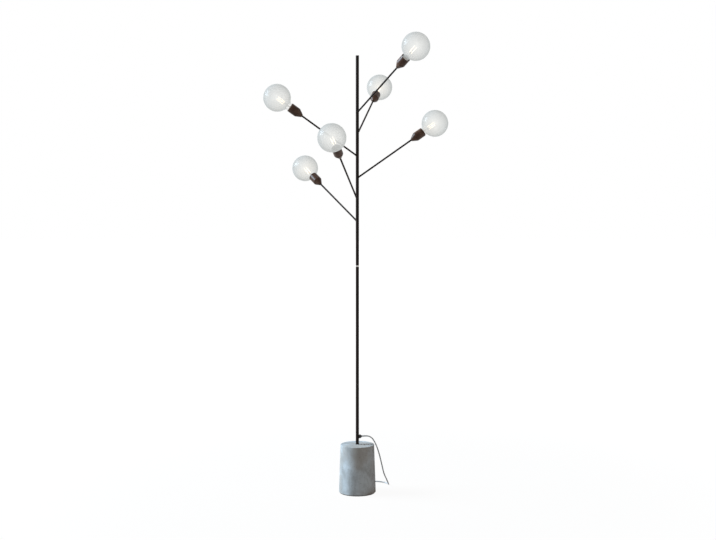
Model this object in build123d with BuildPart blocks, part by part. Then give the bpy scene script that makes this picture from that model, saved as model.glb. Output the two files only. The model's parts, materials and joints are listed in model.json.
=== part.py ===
from build123d import *
import math
import os

# A floor lamp like a bare tree: a thin pole in a block of concrete, with six straight arms that each
# hold a clear globe bulb. Millimetres, +Z up. The origin is on the floor, on the pole's axis.
# The lamp faces -Y, and azimuths are counted from +X towards +Y.

os.makedirs("parts", exist_ok=True)

# ---------------------------------------------------------------- pole
lamp_height = 2020.0  # floor to the top of the pole
pole_dia = 15.0
pole_wall = 1.2
joint_height = 1052.0  # floor to the top of the lower tube
joint_band = 6.5  # height of the bare ring between the two tubes
joint_inset = 0.2  # the ring is this much inside the tubes' surface
joint_spigot = 30.0  # how far the ring's spigots reach into each tube
joint_bore_dia = 8.0
plug_head = 1.5  # thickness of the disc that closes the top of the pole
plug_depth = 8.0
tube_clearance = 0.05  # radial, between a tube's bore and what is fitted in it

# ---------------------------------------------------------------- concrete base
base_height = 225.0  # floor to the top of the concrete
base_bottom_dia = 172.0
base_top_dia = 157.0
base_edge = 1.5  # chamfer on the concrete's edges
pad_thickness = 3.0
pad_inset = 4.0
pole_seat_depth = 25.0  # how deep the pole stands in the concrete
seat_clearance = 0.3
recess_dia = 40.0
recess_depth = 17.0
stud_dia = 8.0
stud_above_seat = 38.0
stud_below_nut = 2.0
stud_clearance = 0.1
insert_length = 30.0
washer_dia = 34.0
washer_thickness = 2.5
nut_across_flats = 13.0
nut_height = 6.5

# ---------------------------------------------------------------- arms
arm_below_top = 259.0  # from the pole's top down to where the top arm's line meets its axis
arm_spacing = 100.0  # from one arm down to the next
arm_rise = 34.7  # degrees above level
arm_dia = 8.0
arm_wall = 0.8
weld_clearance = 0.05
ring_arms = 3  # the upper three arms share the circle evenly, and so do the lower three
top_azimuth = 313.0  # degrees, the direction of the top arm

# ---------------------------------------------------------------- bulbs
bulb_reach = 452.0  # pole axis to the middle of the globe, along the arm
globe_dia = 125.0
bulb_length = 175.0  # contact to the far side of the globe
glass_wall = 0.8
bulb_neck_dia = 29.0
neck_sweep = 24.0  # radius of the curve from the neck to the globe
cap_length = 26.5
cap_thread_dia = 26.2
cap_root_dia = 24.2
cap_pitch = 3.629
cap_threads = 4
cap_thread_start = 7.5  # contact to the first turn
cap_collar_dia = 27.4
cap_wall = 0.5
cap_floor = 9.0  # contact to the inside of the cap's floor
contact_dia = 9.4
contact_height = 1.5
insulator_dia = 22.0
insulator_top = 6.5
glass_in_cap = 12.0
cement_gap = 0.3
stem_dia = 6.0
flare_height = 4.0
flare_length = 14.0
support_dia = 3.0
filament_back = 40.0  # from the middle of the globe back to the lower hub
filament_length = 38.0
filament_dia = 2.0
filament_count = 4
filament_circle = 15.0  # diameter of the circle that the filaments stand on
hub_rim = 1.5  # how far a hub reaches past the filaments' circle
hub_thickness = 1.2

# ---------------------------------------------------------------- lampholders
wiring_space = 26.5  # from the cover's end to the bulb's contact
cover_dia = 42.0
cover_wall = 1.0
cover_neck_dia = 13.0
cover_cone = 26.0
cover_length = 67.0
cover_shoulder = 9.0  # radius where the cone meets the cylinder
socket_clearance = 0.15
socket_below_contact = 9.0
socket_pocket = 1.5  # depth of the bore's floor under the bulb's contact
socket_inset = 3.0  # how far the socket's rim lies inside the cover's rim
thread_clearance = 0.35
neck_clearance = 1.0
contact_head_dia = 6.0
contact_stem_dia = 2.4
contact_gap = 0.3
contact_tail = 2.0
locknut_height = 5.0
locknut_gap = 0.4
arm_end_spare = 1.5  # how far the arm's end stands out of the locknut

# ---------------------------------------------------------------- cord
cord_dia = 6.0
floor_gap = 0.3  # what lies on the floor is drawn this much above it
bend_share = 0.45  # how much of a run the arc at either of its ends may take
gland_above_base = 35.5  # from the concrete's top up to the middle of the gland
gland_azimuth = 30.0
gland_reach = 21.5  # pole axis to the gland's outer end
gland_dia = 13.0
gland_nose_dia = 10.0
gland_nose = 5.0
gland_shank_dia = 8.6
gland_clearance = 0.1
trunk_dia = 5.0
branch_dia = 3.2

# ---------------------------------------------------------------- foot switch
switch_x = 20.0
switch_y = 172.0
switch_dia = 56.0
switch_height = 20.0
switch_wall = 1.6
switch_round = 3.0
switch_rim = 3.1  # the cover's side wall, thicker than its top because its edge is rounded
switch_cord_height = 8.3
nozzle_dia = 10.0
nozzle_reach = 8.0  # how far the nozzles stand out of the switch
button_dia = 24.0
button_clearance = 0.3
button_stand = 4.0
button_travel = 2.5
button_flange = 1.6
button_flange_thickness = 1.5
plunger_dia = 6.0
plunger_spare = 1.0  # what is left under the plunger when it is pressed

# ---------------------------------------------------------------- coil and its tie
coil_start_x = -68.0
coil_start_y = 258.0
coil_outer_radius = 46.0
coil_gap = 0.5  # between neighbouring turns
coil_half_turns_in = 7
coil_half_turns_out = 8
tie_thickness = 1.0
tie_width = 4.0
tie_clearance = 0.4
tie_slack = 1.0  # the tie stands this far off the innermost turn, which curves past it
tie_head = 6.0
tie_head_height = 4.0
gap_step = 2.0  # distance between the points on which the coil's least gap is measured

# ---------------------------------------------------------------- plug
plug_x = -8.0  # the end that the cord enters
plug_y = 332.0
plug_nozzle_length = 10.0
plug_nozzle_dia = 9.0
plug_body_length = 35.0
plug_width = 35.3
plug_waist = 16.0
plug_shoulder = 14.0
plug_height = 13.7
plug_edge = 2.0
pin_spacing = 18.6
pin_length = 19.0
pin_sleeve = 10.0
pin_dia = 4.0
pin_core_dia = 2.8  # the pin inside its sleeve and the plug
sleeve_dia = 3.6
pin_inside = 12.0
pin_clearance = 0.05
pin_edge = 0.8

# ---------------------------------------------------------------- worked out from these
pole_radius = pole_dia / 2
pole_bore_radius = pole_radius - pole_wall
arm_radius = arm_dia / 2
cord_radius = cord_dia / 2
pole_foot = base_height - pole_seat_depth
gland_height = base_height + gland_above_base
upper_pole_foot = joint_height + joint_band
upper_pole_top = lamp_height - plug_head
arm_top_height = lamp_height - arm_below_top
recess_top = recess_depth + pad_thickness
nut_bottom = recess_top - washer_thickness - nut_height
stud_bottom = nut_bottom - stud_below_nut
fitted_radius = pole_bore_radius - tube_clearance

globe_radius = globe_dia / 2
bulb_tip = bulb_reach + globe_radius - bulb_length  # along the arm, like all that follow
cover_base = bulb_tip - wiring_space
cover_rim = cover_base + cover_length
socket_base = bulb_tip - socket_below_contact
socket_rim = cover_rim - socket_inset
socket_floor = bulb_tip - socket_pocket
arm_end = cover_base + cover_wall + locknut_height + arm_end_spare
arm_root = (pole_radius + arm_radius) / math.cos(math.radians(arm_rise))  # past the pole's wall

ring_turn = 360.0 / ring_arms
upper_azimuths = [top_azimuth + k * ring_turn for k in range(ring_arms)]
lower_azimuths = [top_azimuth + ring_turn / 2 - k * ring_turn for k in range(ring_arms)]
arm_azimuths = upper_azimuths + lower_azimuths


def line_frame(height, azimuth, rise):
    """A plane at the pole's axis whose Z runs out along an arm, and whose X is level."""
    turn = math.radians(azimuth)
    climb = math.radians(rise)
    outward = Vector(math.cos(climb) * math.cos(turn), math.cos(climb) * math.sin(turn), math.sin(climb))
    sideways = Vector(-math.sin(turn), math.cos(turn), 0)
    return Plane(origin=(0, 0, height), x_dir=sideways, z_dir=outward)


def section(frame):
    """The plane of a turned piece's profile: X is the radius, and Y the distance along the frame's Z."""
    return Plane(origin=frame.origin, x_dir=frame.x_dir, z_dir=frame.x_dir.cross(frame.z_dir))


def spin_axis(frame):
    return Axis(frame.origin, frame.z_dir)


def save(piece, node):
    piece.part.label = node
    export_step(piece.part, f"parts/{node}.step")


arm_frames = [
    line_frame(arm_top_height - k * arm_spacing, azimuth, arm_rise) for k, azimuth in enumerate(arm_azimuths)
]
gland_frame = line_frame(gland_height, gland_azimuth, 0)

# ================================================================ base

with BuildPart() as concrete_base:
    with BuildSketch(Plane.XZ):
        with BuildLine():
            Polyline(
                (0, pad_thickness),
                (base_bottom_dia / 2, pad_thickness),
                (base_top_dia / 2, base_height),
                (0, base_height),
                close=True,
            )
        make_face()
    revolve(axis=Axis.Z)
    chamfer(concrete_base.edges().filter_by(GeomType.CIRCLE), base_edge)
    with BuildSketch(Plane.XY.offset(pole_foot)):
        Circle(pole_radius + seat_clearance)
    extrude(amount=pole_seat_depth, mode=Mode.SUBTRACT)
    with BuildSketch(Plane.XY.offset(pad_thickness)):
        Circle(recess_dia / 2)
    extrude(amount=recess_depth, mode=Mode.SUBTRACT)
    with BuildSketch(Plane.XY.offset(recess_top)):
        Circle(stud_dia / 2 + stud_clearance)
    extrude(amount=pole_foot - recess_top, mode=Mode.SUBTRACT)
save(concrete_base, "concrete_base")

with BuildPart() as base_pad:
    with BuildSketch(Plane.XY):
        Circle(base_bottom_dia / 2 - pad_inset)
    extrude(amount=pad_thickness)
save(base_pad, "base_pad")

with BuildPart() as base_stud:
    with BuildSketch(Plane.XY.offset(stud_bottom)):
        Circle(stud_dia / 2)
    extrude(amount=pole_foot + stud_above_seat - stud_bottom)
save(base_stud, "base_stud")

with BuildPart() as base_washer:
    with BuildSketch(Plane.XY.offset(recess_top - washer_thickness)):
        Circle(washer_dia / 2)
        Circle(stud_dia / 2 + stud_clearance, mode=Mode.SUBTRACT)
    extrude(amount=washer_thickness)
save(base_washer, "base_washer")

with BuildPart() as base_nut:
    with BuildSketch(Plane.XY.offset(nut_bottom)):
        RegularPolygon(nut_across_flats / 2, 6, major_radius=False)
        Circle(stud_dia / 2, mode=Mode.SUBTRACT)
    extrude(amount=nut_height)
save(base_nut, "base_nut")

# ================================================================ pole

with BuildPart() as lower_pole:
    with BuildSketch(Plane.XY.offset(pole_foot)):
        Circle(pole_radius)
        Circle(pole_bore_radius, mode=Mode.SUBTRACT)
    extrude(amount=joint_height - pole_foot)
    with BuildSketch(gland_frame):
        Circle(gland_shank_dia / 2 + gland_clearance)
    extrude(amount=pole_dia, mode=Mode.SUBTRACT)
save(lower_pole, "lower_pole")

with BuildPart() as pole_foot_insert:
    with BuildSketch(Plane.XY.offset(pole_foot)):
        Circle(fitted_radius)
        Circle(stud_dia / 2, mode=Mode.SUBTRACT)
    extrude(amount=insert_length)
save(pole_foot_insert, "pole_foot_insert")

with BuildPart() as pole_joint:
    with BuildSketch(Plane.XY.offset(joint_height - joint_spigot)):
        Circle(fitted_radius)
    extrude(amount=joint_band + 2 * joint_spigot)
    with BuildSketch(Plane.XY.offset(joint_height)):
        Circle(pole_radius - joint_inset)
    extrude(amount=joint_band)
    with BuildSketch(Plane.XY.offset(joint_height - joint_spigot)):
        Circle(joint_bore_dia / 2)
    extrude(amount=joint_band + 2 * joint_spigot, mode=Mode.SUBTRACT)
save(pole_joint, "pole_joint")

with BuildPart() as upper_pole:
    with BuildSketch(Plane.XY.offset(upper_pole_foot)):
        Circle(pole_radius)
        Circle(pole_bore_radius, mode=Mode.SUBTRACT)
    extrude(amount=upper_pole_top - upper_pole_foot)
    for frame in arm_frames:
        with BuildSketch(frame):
            Circle(arm_radius + weld_clearance)
        extrude(amount=arm_root, mode=Mode.SUBTRACT)
save(upper_pole, "upper_pole")

with BuildPart() as pole_top_plug:
    with BuildSketch(Plane.XY.offset(upper_pole_top)):
        Circle(pole_radius)
    extrude(amount=plug_head)
    with BuildSketch(Plane.XY.offset(upper_pole_top)):
        Circle(fitted_radius)
    extrude(amount=-plug_depth)
save(pole_top_plug, "pole_top_plug")

# ================================================================ arms and lampholders

cover_slope = (cover_dia - cover_neck_dia) / 2 / cover_cone
slant = math.hypot(1, cover_slope)


def cone_radius(distance, depth):
    """Radius of the cover's cone at a distance along the arm, at a depth under its outer surface."""
    return cover_neck_dia / 2 + cover_slope * (distance - cover_base) - depth * slant


def shoulder(depth):
    """Where the cone meets the cylinder, at a depth under the cover's outer surface."""
    radius = cover_dia / 2 - depth
    rise = (radius - cover_neck_dia / 2 + depth * slant) / cover_slope
    return (radius, cover_base + rise)


def make_arm(frame):
    with BuildPart() as arm:
        with BuildSketch(frame):
            Circle(arm_radius)
            Circle(arm_radius - arm_wall, mode=Mode.SUBTRACT)
        extrude(amount=arm_end)
        with BuildSketch(Plane.XY.offset(frame.origin.Z - arm_root)):
            Circle(pole_bore_radius)
        extrude(amount=2 * arm_root, mode=Mode.SUBTRACT)
    return arm


def make_cover(frame):
    hole = arm_radius + weld_clearance
    floor = cover_base + cover_wall
    with BuildPart() as cover:
        with BuildSketch(section(frame)):
            with BuildLine():
                FilletPolyline(
                    (hole, cover_base),
                    (cover_neck_dia / 2, cover_base),
                    shoulder(0),
                    (cover_dia / 2, cover_rim),
                    radius=[cover_wall / 2, cover_shoulder],
                )
                Line((cover_dia / 2, cover_rim), (cover_dia / 2 - cover_wall, cover_rim))
                FilletPolyline(
                    (cover_dia / 2 - cover_wall, cover_rim),
                    shoulder(cover_wall),
                    (cone_radius(floor, cover_wall), floor),
                    radius=[cover_shoulder - cover_wall],
                )
                Polyline((cone_radius(floor, cover_wall), floor), (hole, floor), (hole, cover_base))
            make_face()
        revolve(axis=spin_axis(frame))
    return cover


def make_socket(frame):
    depth = cover_wall + socket_clearance
    thread_bore = cap_thread_dia / 2 + thread_clearance
    neck_bore = bulb_neck_dia / 2 + neck_clearance
    step = bulb_tip + cap_thread_start + cap_threads * cap_pitch
    with BuildPart() as socket:
        with BuildSketch(section(frame)):
            with BuildLine():
                FilletPolyline(
                    (cone_radius(socket_base, depth), socket_base),
                    shoulder(depth),
                    (cover_dia / 2 - depth, socket_rim),
                    radius=[cover_shoulder - cover_wall],
                )
                Polyline(
                    (cover_dia / 2 - depth, socket_rim),
                    (neck_bore, socket_rim),
                    (neck_bore, step),
                    (thread_bore, step),
                    (thread_bore, socket_floor),
                    (contact_stem_dia / 2 + pin_clearance, socket_floor),
                    (contact_stem_dia / 2 + pin_clearance, socket_base),
                    (cone_radius(socket_base, depth), socket_base),
                )
            make_face()
        revolve(axis=spin_axis(frame))
    return socket


def make_contact(frame):
    """The bulb's centre contact: a stem through the socket with a head on the bore's floor."""
    with BuildPart() as contact:
        with BuildSketch(section(frame)):
            with BuildLine():
                Polyline(
                    (0, socket_base - contact_tail),
                    (contact_stem_dia / 2, socket_base - contact_tail),
                    (contact_stem_dia / 2, socket_floor),
                    (contact_head_dia / 2, socket_floor),
                    (contact_head_dia / 2, bulb_tip - contact_gap),
                    (0, bulb_tip - contact_gap),
                    close=True,
                )
            make_face()
        revolve(axis=spin_axis(frame))
    return contact


def make_locknut(frame):
    """The ring nut on the arm's threaded end, inside the cover."""
    floor = cover_base + cover_wall
    with BuildPart() as locknut:
        with BuildSketch(Plane(frame.origin + frame.z_dir * floor, x_dir=frame.x_dir, z_dir=frame.z_dir)):
            Circle(cone_radius(floor, cover_wall) - locknut_gap)
            Circle(arm_radius, mode=Mode.SUBTRACT)
        extrude(amount=locknut_height)
    return locknut


# ================================================================ bulbs


def make_globe(frame):
    """The glass: a globe that sweeps into a straight neck, and a narrow end inside the cap."""
    neck = bulb_neck_dia / 2
    sweep_radius = neck + neck_sweep
    sweep_back = math.sqrt((globe_radius + neck_sweep) ** 2 - sweep_radius**2)
    sweep_centre = (sweep_radius, bulb_reach - sweep_back)
    meet = math.degrees(math.atan2(sweep_back, sweep_radius))
    centre = (0, bulb_reach)
    cap_rim = bulb_tip + cap_length
    narrow = cap_root_dia / 2 - cap_wall - cement_gap
    shoulder_end = cap_rim + neck - narrow
    glass_end = cap_rim - glass_in_cap
    with BuildPart() as globe:
        with BuildSketch(section(frame)):
            with BuildLine():
                CenterArc(centre, globe_radius, 90, -90 - meet)
                CenterArc(sweep_centre, neck_sweep, 180 - meet, meet)
                Polyline(
                    (neck, bulb_reach - sweep_back),
                    (neck, shoulder_end),
                    (narrow, cap_rim),
                    (narrow, glass_end),
                    (narrow - glass_wall, glass_end),
                    (narrow - glass_wall, cap_rim),
                    (neck - glass_wall, shoulder_end),
                    (neck - glass_wall, bulb_reach - sweep_back),
                )
                CenterArc(sweep_centre, neck_sweep + glass_wall, 180, -meet)
                CenterArc(centre, globe_radius - glass_wall, -meet, 90 + meet)
                Line((0, bulb_reach + globe_radius - glass_wall), (0, bulb_reach + globe_radius))
            make_face()
        revolve(axis=spin_axis(frame))
    return globe


def make_cap(frame):
    """The screw cap. Its thread is drawn as rings, so that it turns in the socket without a helix."""
    root = cap_root_dia / 2
    crest = cap_thread_dia / 2
    collar = cap_collar_dia / 2
    thread_end = bulb_tip + cap_thread_start + cap_threads * cap_pitch
    cap_rim = bulb_tip + cap_length
    with BuildPart() as cap:
        with BuildSketch(section(frame)):
            with BuildLine():
                Polyline(
                    (0, bulb_tip + cap_floor),
                    (0, bulb_tip),
                    (contact_dia / 2, bulb_tip),
                    (contact_dia / 2, bulb_tip + contact_height),
                    (insulator_dia / 2, bulb_tip + insulator_top),
                    (root, bulb_tip + cap_thread_start),
                )
                for k in range(cap_threads):
                    start = bulb_tip + cap_thread_start + k * cap_pitch
                    ThreePointArc((root, start), (crest, start + cap_pitch / 2), (root, start + cap_pitch))
                Polyline(
                    (root, thread_end),
                    (collar, thread_end + collar - root),
                    (collar, cap_rim),
                    (root - cap_wall, cap_rim),
                    (root - cap_wall, bulb_tip + cap_floor),
                    (0, bulb_tip + cap_floor),
                )
            make_face()
        revolve(axis=spin_axis(frame))
    return cap


def make_filament(frame):
    """The lit inside: a glass stem with a flare, two hubs, and upright filaments between them."""
    flare_radius = cap_root_dia / 2 - cap_wall - 2 * cement_gap - glass_wall
    flare = bulb_tip + cap_floor + flare_height
    lower_hub = bulb_reach - filament_back
    upper_hub = lower_hub + filament_length
    hub_radius = filament_circle / 2 + hub_rim
    hub_plane = Plane(frame.origin + frame.z_dir * lower_hub, x_dir=frame.x_dir, z_dir=frame.z_dir)
    with BuildPart() as filament:
        with BuildSketch(section(frame)):
            with BuildLine():
                Polyline(
                    (0, bulb_tip + cap_floor),
                    (stem_dia / 2, bulb_tip + cap_floor),
                    (stem_dia / 2, flare),
                    (flare_radius, flare),
                    (flare_radius, flare + hub_thickness),
                    (support_dia, flare + flare_length),
                    (support_dia / 2, flare + 2 * flare_length),
                    (support_dia / 2, lower_hub),
                    (hub_radius, lower_hub),
                    (hub_radius, lower_hub + hub_thickness),
                    (support_dia / 2, lower_hub + hub_thickness),
                    (support_dia / 2, upper_hub - hub_thickness),
                    (hub_radius, upper_hub - hub_thickness),
                    (hub_radius, upper_hub),
                    (0, upper_hub),
                    close=True,
                )
            make_face()
        revolve(axis=spin_axis(frame))
        with BuildSketch(hub_plane):
            with PolarLocations(filament_circle / 2, filament_count):
                Circle(filament_dia / 2)
        extrude(amount=filament_length)
    return filament


for number, frame in enumerate(arm_frames, start=1):
    save(make_arm(frame), f"arm_{number}")
    save(make_cover(frame), f"holder_{number}_cover")
    save(make_socket(frame), f"holder_{number}_socket")
    save(make_globe(frame), f"bulb_{number}_globe")
    save(make_cap(frame), f"bulb_{number}_cap")
    save(make_filament(frame), f"bulb_{number}_filament")

contacts = [make_contact(frame) for frame in arm_frames]
with BuildPart() as socket_contacts:
    for contact in contacts:
        add(contact.part)
save(socket_contacts, "socket_contacts")

locknuts = [make_locknut(frame) for frame in arm_frames]
with BuildPart() as holder_nuts:
    for locknut in locknuts:
        add(locknut.part)
save(holder_nuts, "holder_nuts")

# ================================================================ gland and leads

with BuildPart() as cord_gland:
    with BuildSketch(section(gland_frame)):
        with BuildLine():
            Polyline(
                (0, pole_bore_radius),
                (gland_shank_dia / 2, pole_bore_radius),
                (gland_shank_dia / 2, pole_radius),
                (gland_dia / 2, pole_radius),
                (gland_dia / 2, gland_reach - gland_nose),
                (gland_nose_dia / 2, gland_reach),
                (0, gland_reach),
                close=True,
            )
        make_face()
    revolve(axis=spin_axis(gland_frame))
    with BuildSketch(gland_frame):
        Circle(cord_radius + gland_clearance)
    extrude(amount=gland_reach, mode=Mode.SUBTRACT)
save(cord_gland, "cord_gland")

with BuildPart() as lead_harness:
    with BuildSketch(Plane.XY.offset(gland_height - trunk_dia / 2)):
        Circle(trunk_dia / 2)
    extrude(amount=arm_top_height + trunk_dia / 2 - gland_height)
    with BuildSketch(gland_frame):
        Circle(cord_radius)
    extrude(amount=gland_reach)
    for frame in arm_frames:
        with BuildSketch(frame):
            Circle(branch_dia / 2)
        extrude(amount=socket_base - contact_tail)
save(lead_harness, "lead_harness")

# ================================================================ foot switch

switch_bottom = floor_gap
switch_top = switch_bottom + switch_height
switch_split = switch_cord_height
nozzle_end = switch_dia / 2 + nozzle_reach
button_round = button_stand / 3  # the rounded edge stays within what stands out of the cover
nozzle_origin = (switch_x - nozzle_end, switch_y, switch_cord_height)
nozzle_plane = Plane(origin=nozzle_origin, x_dir=(0, 1, 0), z_dir=(1, 0, 0))

with BuildPart() as switch_base:
    with BuildSketch(Plane.XY.offset(switch_bottom)):
        with Locations((switch_x, switch_y)):
            Circle(switch_dia / 2)
    extrude(amount=switch_split - switch_bottom)
    with BuildSketch(nozzle_plane):
        Circle(nozzle_dia / 2)
    extrude(amount=2 * nozzle_end)
    split(bisect_by=Plane.XY.offset(switch_split), keep=Keep.BOTTOM)
    with BuildSketch(Plane.XY.offset(switch_bottom + switch_wall)):
        with Locations((switch_x, switch_y)):
            Circle(switch_dia / 2 - switch_wall)
    extrude(amount=switch_height, mode=Mode.SUBTRACT)
save(switch_base, "switch_base")

with BuildPart() as switch_cover:
    with BuildSketch(Plane.XY.offset(switch_split)):
        with Locations((switch_x, switch_y)):
            Circle(switch_dia / 2)
    extrude(amount=switch_top - switch_split)
    fillet(switch_cover.edges().group_by(Axis.Z)[-1], switch_round)
    with BuildSketch(nozzle_plane):
        Circle(nozzle_dia / 2)
    extrude(amount=2 * nozzle_end)
    split(bisect_by=Plane.XY.offset(switch_split), keep=Keep.TOP)
    with BuildSketch(Plane.XY.offset(switch_split)):
        with Locations((switch_x, switch_y)):
            Circle(switch_dia / 2 - switch_rim)
    extrude(amount=switch_top - switch_wall - switch_split, mode=Mode.SUBTRACT)
    with BuildSketch(Plane.XY.offset(switch_top)):
        with Locations((switch_x, switch_y)):
            Circle(button_dia / 2 + button_clearance)
    extrude(amount=switch_split - switch_top, mode=Mode.SUBTRACT)
save(switch_cover, "switch_cover")

flange_top = switch_top - switch_wall - button_clearance
plunger_bottom = switch_bottom + switch_wall + plunger_spare + button_travel
with BuildPart() as switch_button:
    with BuildSketch(Plane.XY.offset(flange_top)):
        with Locations((switch_x, switch_y)):
            Circle(button_dia / 2)
    extrude(amount=switch_top + button_stand - flange_top)
    fillet(switch_button.edges().group_by(Axis.Z)[-1], button_round)
    with BuildSketch(Plane.XY.offset(flange_top - button_flange_thickness)):
        with Locations((switch_x, switch_y)):
            Circle(button_dia / 2 + button_flange)
    extrude(amount=button_flange_thickness)
    with BuildSketch(Plane.XY.offset(plunger_bottom)):
        with Locations((switch_x, switch_y)):
            Circle(plunger_dia / 2)
    extrude(amount=flange_top - plunger_bottom)
save(switch_button, "switch_button")

# ================================================================ plug

plug_centre_z = floor_gap + plug_height / 2
plug_back = plug_x + plug_nozzle_length
plug_face = plug_back + plug_body_length
sleeve_end = plug_face + pin_sleeve
pin_root = plug_face - pin_inside


def across_plug(x):
    """A plane square to the plug's middle line, which runs along X, with its own X along the pins' row."""
    return Plane(origin=(x, plug_y, plug_centre_z), x_dir=(0, 1, 0), z_dir=(1, 0, 0))


with BuildPart() as plug_body:
    with BuildSketch(Plane.XY.offset(floor_gap)):
        with BuildLine():
            Polyline(
                (plug_back, plug_y - plug_waist / 2),
                (plug_back + plug_shoulder, plug_y - plug_width / 2),
                (plug_face, plug_y - plug_width / 2),
                (plug_face, plug_y + plug_width / 2),
                (plug_back + plug_shoulder, plug_y + plug_width / 2),
                (plug_back, plug_y + plug_waist / 2),
                close=True,
            )
        make_face()
    extrude(amount=plug_height)
    fillet(plug_body.edges(), plug_edge)
    with BuildSketch(across_plug(plug_x)):
        Circle(plug_nozzle_dia / 2)
    extrude(amount=plug_nozzle_length + plug_shoulder)
    with BuildSketch(across_plug(pin_root)):
        with GridLocations(pin_spacing, 0, 2, 1):
            Circle(sleeve_dia / 2)
    extrude(amount=sleeve_end - pin_root)
    with BuildSketch(across_plug(pin_root)):
        with GridLocations(pin_spacing, 0, 2, 1):
            Circle(pin_core_dia / 2 + pin_clearance)
    extrude(amount=sleeve_end - pin_root, mode=Mode.SUBTRACT)
save(plug_body, "plug_body")

with BuildPart() as plug_pins:
    with BuildSketch(across_plug(sleeve_end)):
        with GridLocations(pin_spacing, 0, 2, 1):
            Circle(pin_dia / 2)
    extrude(amount=pin_length - pin_sleeve)
    chamfer(plug_pins.edges().group_by(Axis.X)[-1], pin_edge)
    with BuildSketch(across_plug(pin_root)):
        with GridLocations(pin_spacing, 0, 2, 1):
            Circle(pin_core_dia / 2)
    extrude(amount=sleeve_end - pin_root)
save(plug_pins, "plug_pins")

# ================================================================ cord

coil_pitch = cord_dia + coil_gap
lower_layer = floor_gap + tie_thickness + tie_clearance + cord_radius
upper_layer = lower_layer + coil_pitch
lie = floor_gap + cord_radius  # height of the cord's centre where it lies on the floor
gland_cos = math.cos(math.radians(gland_azimuth))
gland_sin = math.sin(math.radians(gland_azimuth))


def beside_pole(reach, height):
    """A point in the upright plane that the gland points along."""
    return (reach * gland_cos, reach * gland_sin, height)


lead_points = [
    beside_pole(gland_reach, gland_height),
    beside_pole(49, gland_height),
    beside_pole(79, gland_height - 9.5),
    beside_pole(98, gland_height - 31.5),
    beside_pole(119, gland_height - 77.5),
    beside_pole(137.5, 112),
    beside_pole(146.5, 70),
    (140, 88, 36),
    (148, 106, 13),
    (151, 128, lie),
    (146, 152, lie),
    (127, 169, 5),
    (91, switch_y, switch_cord_height),
    (switch_x + nozzle_end, switch_y, switch_cord_height),
]
run_points = [
    (switch_x - nozzle_end, switch_y, switch_cord_height),
    (-42, switch_y, switch_cord_height),
    (-64, 192, 6.2),
    (coil_start_x, 225, lower_layer),
    (coil_start_x, coil_start_y - cord_dia, lower_layer),
]
tail_points = [
    (coil_start_x, coil_start_y + cord_dia, upper_layer),
    (coil_start_x, 290, upper_layer),
    (-56, 318, 8),
    (-30, plug_y, plug_centre_z),
    (plug_x, plug_y, plug_centre_z),
]


def route_radii(points):
    """The arc at each inner point of a route, as large as its two runs allow."""
    radii = []
    for before, here, after in zip(points, points[1:], points[2:]):
        back = Vector(*before) - Vector(*here)
        ahead = Vector(*after) - Vector(*here)
        turn = math.radians(180 - back.get_angle(ahead))
        radii.append(bend_share * min(back.length, ahead.length) / math.tan(turn / 2))
    return radii


def make_cord(points, name):
    radii = route_radii(points)
    with BuildPart() as cord:
        with BuildLine():
            route = FilletPolyline(*points, radius=radii)
        with BuildSketch(Plane(route @ 0, z_dir=route % 0)):
            Circle(cord_radius)
        sweep(path=route)
    length = route.length
    share = cord.part.volume / (math.pi * cord_radius**2 * length)
    print(name, "length", round(length, 1), "volume share", round(share, 4))
    print(name, "radii", [round(r) for r in radii])
    return cord


save(make_cord(lead_points, "cord_lead"), "cord_lead")
save(make_cord(run_points, "cord_run"), "cord_run")
save(make_cord(tail_points, "cord_tail"), "cord_tail")


def coil_arcs():
    """Half turns of the coil, as (start, middle, end): in on the floor, one half turn up, and out on top."""
    arcs = []
    x = coil_start_x
    radius = coil_outer_radius
    side = 1  # 1 for a half turn over the back, which ends on the right, -1 for one over the front
    for k in range(coil_half_turns_in):
        end = x + side * 2 * radius
        middle = ((x + end) / 2, coil_start_y + side * radius, lower_layer)
        arcs.append(((x, coil_start_y, lower_layer), middle, (end, coil_start_y, lower_layer)))
        x = end
        side = -side
        radius -= coil_pitch / 2
    end = x + side * 2 * radius
    climb_radius = math.hypot(2 * radius, coil_pitch) / 2
    middle = ((x + end) / 2, coil_start_y + side * climb_radius, (lower_layer + upper_layer) / 2)
    arcs.append(((x, coil_start_y, lower_layer), middle, (end, coil_start_y, upper_layer)))
    x = end
    side = -side
    for k in range(coil_half_turns_out):
        radius += coil_pitch / 2
        end = x + side * 2 * radius
        middle = ((x + end) / 2, coil_start_y + side * radius, upper_layer)
        arcs.append(((x, coil_start_y, upper_layer), middle, (end, coil_start_y, upper_layer)))
        x = end
        side = -side
    return arcs


arcs = coil_arcs()
coil_end_x = arcs[-1][2][0]
with BuildPart() as cord_coil:
    with BuildLine() as coil_line:
        Line((coil_start_x, coil_start_y - cord_dia, lower_layer), arcs[0][0])
        for start, middle, end in arcs:
            ThreePointArc(start, middle, end)
        Line(arcs[-1][2], (coil_end_x, coil_start_y + cord_dia, upper_layer))
    coil_wire = coil_line.wire()
    with BuildSketch(Plane(coil_wire @ 0, z_dir=coil_wire % 0)):
        Circle(cord_radius)
    sweep(path=coil_wire)
save(cord_coil, "cord_coil")


def least_coil_gap():
    """The coil's least gap to itself, between points at least the outer radius apart along it."""
    count = round(coil_wire.length / gap_step)
    apart = round(coil_outer_radius / gap_step)
    points = [coil_wire @ (k / count) for k in range(count + 1)]
    pairs = [(i, j) for i in range(count + 1) for j in range(i + apart, count + 1)]
    return min((points[i] - points[j]).length for i, j in pairs) - cord_dia


coil_share = cord_coil.part.volume / (math.pi * cord_radius**2 * coil_wire.length)
print("cord_coil length", round(coil_wire.length, 1), "volume share", round(coil_share, 4))
print("least gap between the coil's turns", round(least_coil_gap(), 3))

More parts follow.
